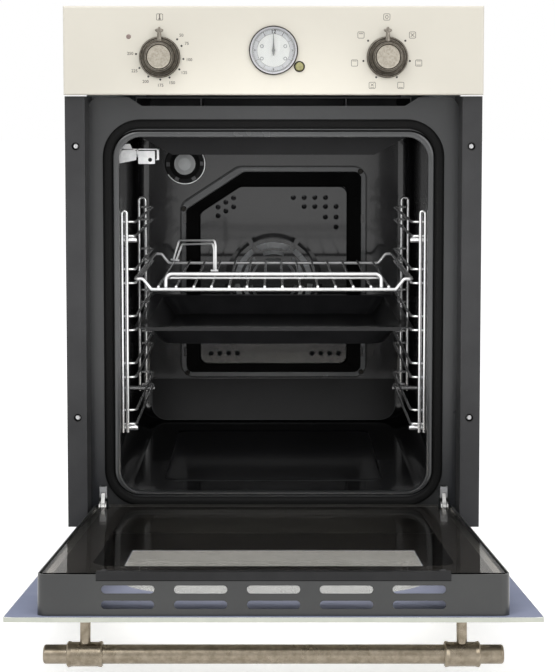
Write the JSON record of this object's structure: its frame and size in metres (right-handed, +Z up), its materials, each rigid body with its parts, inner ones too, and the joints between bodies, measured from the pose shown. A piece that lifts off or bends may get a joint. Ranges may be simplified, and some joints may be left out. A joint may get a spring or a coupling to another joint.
{
  "type": "built-in oven",
  "caption": "Narrow built-in oven with its drop-down door open, a wire rack and a tray inside, two turned knobs and a round clock on a cream panel.",
  "frame": {"origin": "centre of the underside of the base pan", "axes": "+X to the oven's right as seen from the front, +Y to its rear, +Z up"},
  "size_m": [0.449, 0.9827, 0.595],
  "materials": {
    "base_pan": "galvanised sheet",
    "casing_side_left": "galvanised sheet",
    "casing_side_right": "galvanised sheet",
    "casing_rear": "galvanised sheet",
    "casing_top": "galvanised sheet",
    "terminal_block": "moulded black plastic",
    "front_frame": "dark grey satin enamel",
    "door_gasket": "soft silicone bulb",
    "side_trim_left": "dark grey satin paint",
    "side_trim_right": "dark grey satin paint",
    "trim_ferrules": "black",
    "muffle_wrap": "black vitreous enamel with a satin gloss",
    "muffle_rear": "black vitreous enamel with a satin gloss",
    "fan_cover": "black vitreous enamel with a satin gloss",
    "convection_fan": "plain pressed sheet",
    "fan_motor": "laminations and bell",
    "ring_heater": "heat-stained tube",
    "grill_hood": "black vitreous enamel with a satin gloss",
    "grill_element": "heat-stained tube",
    "bottom_heater": "heat-stained tube",
    "lamp_housing": "plated ring and socket",
    "lamp_glass": "clear pressed glass",
    "sensor_bracket": "bright plated steel",
    "ladder_left": "bright chromed wire",
    "ladder_right": "bright chromed wire",
    "ladder_studs": "bright chromed wire",
    "rack": "bright chromed wire",
    "tray_handle": "bright chromed wire",
    "baking_tray": "black vitreous enamel with a satin gloss",
    "cooling_fan_housing": "galvanised sheet",
    "cooling_fan_rotor": "plain",
    "cooling_fan_motor": "plain",
    "insulation": "mineral wool",
    "control_panel": "cream enamel, satin",
    "panel_bracket": "galvanised sheet",
    "rotary_switches": "moulded switch bodies",
    "thermostat_knob": "aged bronze, brushed highlights",
    "function_knob": "aged bronze, brushed highlights",
    "thermostat_cap": "hammered, aged",
    "function_cap": "hammered, aged",
    "clock_case": "dark bronze",
    "clock_dial": "white print",
    "clock_glass": "clear",
    "hour_hand": "blackened",
    "minute_hand": "blackened",
    "clock_knob": "polished, aged",
    "indicator_lens": "clear red, unlit",
    "hinge_receivers": "galvanised sheet",
    "hinge_arms": "galvanised sheet",
    "hinge_latch_left": "galvanised sheet",
    "hinge_latch_right": "galvanised sheet",
    "outer_glass": "tinted glass with a printed rear face",
    "door_liner": "dark grey enamel",
    "inner_glass": "heat-reflecting glass",
    "door_top_rail": "dark grey enamel",
    "door_buffers": "silicone",
    "door_screws": "blackened",
    "handle_bar": "aged bronze, brushed highlights",
    "handle_mounts": "aged bronze, brushed highlights",
    "hinge_channels": "galvanised sheet"
  },
  "bodies": {
    "oven": {"base_pan": "base_pan", "casing_side_left": "casing_side_left", "casing_side_right": "casing_side_right", "casing_rear": "casing_rear", "casing_top": "casing_top", "terminal_block": "terminal_block", "front_frame": "front_frame", "door_gasket": "door_gasket", "side_trim_left": "side_trim_left", "side_trim_right": "side_trim_right", "trim_ferrules": "trim_ferrules", "muffle_wrap": "muffle_wrap", "muffle_rear": "muffle_rear", "fan_cover": "fan_cover", "fan_motor": "fan_motor", "ring_heater": "ring_heater", "grill_hood": "grill_hood", "grill_element": "grill_element", "bottom_heater": "bottom_heater", "lamp_housing": "lamp_housing", "lamp_glass": "lamp_glass", "sensor_bracket": "sensor_bracket", "ladder_left": "ladder_left", "ladder_right": "ladder_right", "ladder_studs": "ladder_studs", "cooling_fan_housing": "cooling_fan_housing", "cooling_fan_motor": "cooling_fan_motor", "insulation": "insulation", "control_panel": "control_panel", "panel_bracket": "panel_bracket", "rotary_switches": "rotary_switches", "clock_case": "clock_case", "clock_dial": "clock_dial", "clock_glass": "clock_glass", "indicator_lens": "indicator_lens", "hinge_receivers": "hinge_receivers", "hinge_arms": "hinge_arms"},
    "door": {"outer_glass": "outer_glass", "door_liner": "door_liner", "inner_glass": "inner_glass", "door_top_rail": "door_top_rail", "door_buffers": "door_buffers", "door_screws": "door_screws", "handle_bar": "handle_bar", "handle_mounts": "handle_mounts", "hinge_channels": "hinge_channels"},
    "rack": {"rack": "rack"},
    "baking_tray": {"baking_tray": "baking_tray"},
    "tray_handle": {"tray_handle": "tray_handle"},
    "thermostat_knob": {"thermostat_knob": "thermostat_knob", "thermostat_cap": "thermostat_cap"},
    "function_knob": {"function_knob": "function_knob", "function_cap": "function_cap"},
    "clock_knob": {"clock_knob": "clock_knob"},
    "minute_hand": {"minute_hand": "minute_hand"},
    "hour_hand": {"hour_hand": "hour_hand"},
    "convection_fan": {"convection_fan": "convection_fan"},
    "cooling_fan_rotor": {"cooling_fan_rotor": "cooling_fan_rotor"},
    "latch_left": {"hinge_latch_left": "hinge_latch_left"},
    "latch_right": {"hinge_latch_right": "hinge_latch_right"}
  },
  "joints": [
    {"name": "door_hinge", "type": "hinge", "parent": "oven", "child": "door", "pos_m": [0, -0.27, 0.044], "axis": [1, 0, 0], "range_deg": [-83.3, 0]},
    {"name": "latch_left_flip", "type": "hinge", "parent": "oven", "child": "latch_left", "pos_m": [-0.189, -0.2645, 0.056], "axis": [1, 0, 0], "range_deg": [0, 60]},
    {"name": "latch_right_flip", "type": "hinge", "parent": "oven", "child": "latch_right", "pos_m": [0.189, -0.2645, 0.056], "axis": [1, 0, 0], "range_deg": [0, 60]},
    {"name": "rack_slide", "type": "slide", "parent": "oven", "child": "rack", "axis": [0, -1, 0], "range_m": [0, 0.25]},
    {"name": "tray_slide", "type": "slide", "parent": "oven", "child": "baking_tray", "axis": [0, -1, 0], "range_m": [0, 0.25]},
    {"name": "tray_handle_lift", "type": "slide", "parent": "rack", "child": "tray_handle", "axis": [0, 0, 1], "range_m": [0, 0.06]},
    {"name": "thermostat_turn", "type": "hinge", "parent": "oven", "child": "thermostat_knob", "pos_m": [-0.1213, -0.305, 0.5404], "axis": [0, 1, 0], "range_deg": [0, 274]},
    {"name": "function_turn", "type": "hinge", "parent": "oven", "child": "function_knob", "pos_m": [0.1213, -0.305, 0.5404], "axis": [0, 1, 0], "continuous": true},
    {"name": "clock_set", "type": "hinge", "parent": "oven", "child": "clock_knob", "pos_m": [0.0276, -0.305, 0.5305], "axis": [0, 1, 0], "continuous": true},
    {"name": "minute_hand_turn", "type": "hinge", "parent": "oven", "child": "minute_hand", "pos_m": [0, -0.305, 0.5477], "axis": [0, 1, 0], "continuous": true},
    {"name": "hour_hand_turn", "type": "hinge", "parent": "oven", "child": "hour_hand", "pos_m": [0, -0.305, 0.5477], "axis": [0, 1, 0], "continuous": true},
    {"name": "convection_fan_spin", "type": "hinge", "parent": "oven", "child": "convection_fan", "pos_m": [0, 0.175, 0.251], "axis": [0, 1, 0], "continuous": true},
    {"name": "cooling_fan_spin", "type": "hinge", "parent": "oven", "child": "cooling_fan_rotor", "pos_m": [0, -0.055, 0.53], "axis": [1, 0, 0], "continuous": true}
  ],
  "couplings": [
    {"joint": "minute_hand_turn", "follows": "clock_set", "ratio": 1},
    {"joint": "hour_hand_turn", "follows": "clock_set", "ratio": 0.083333}
  ]
}
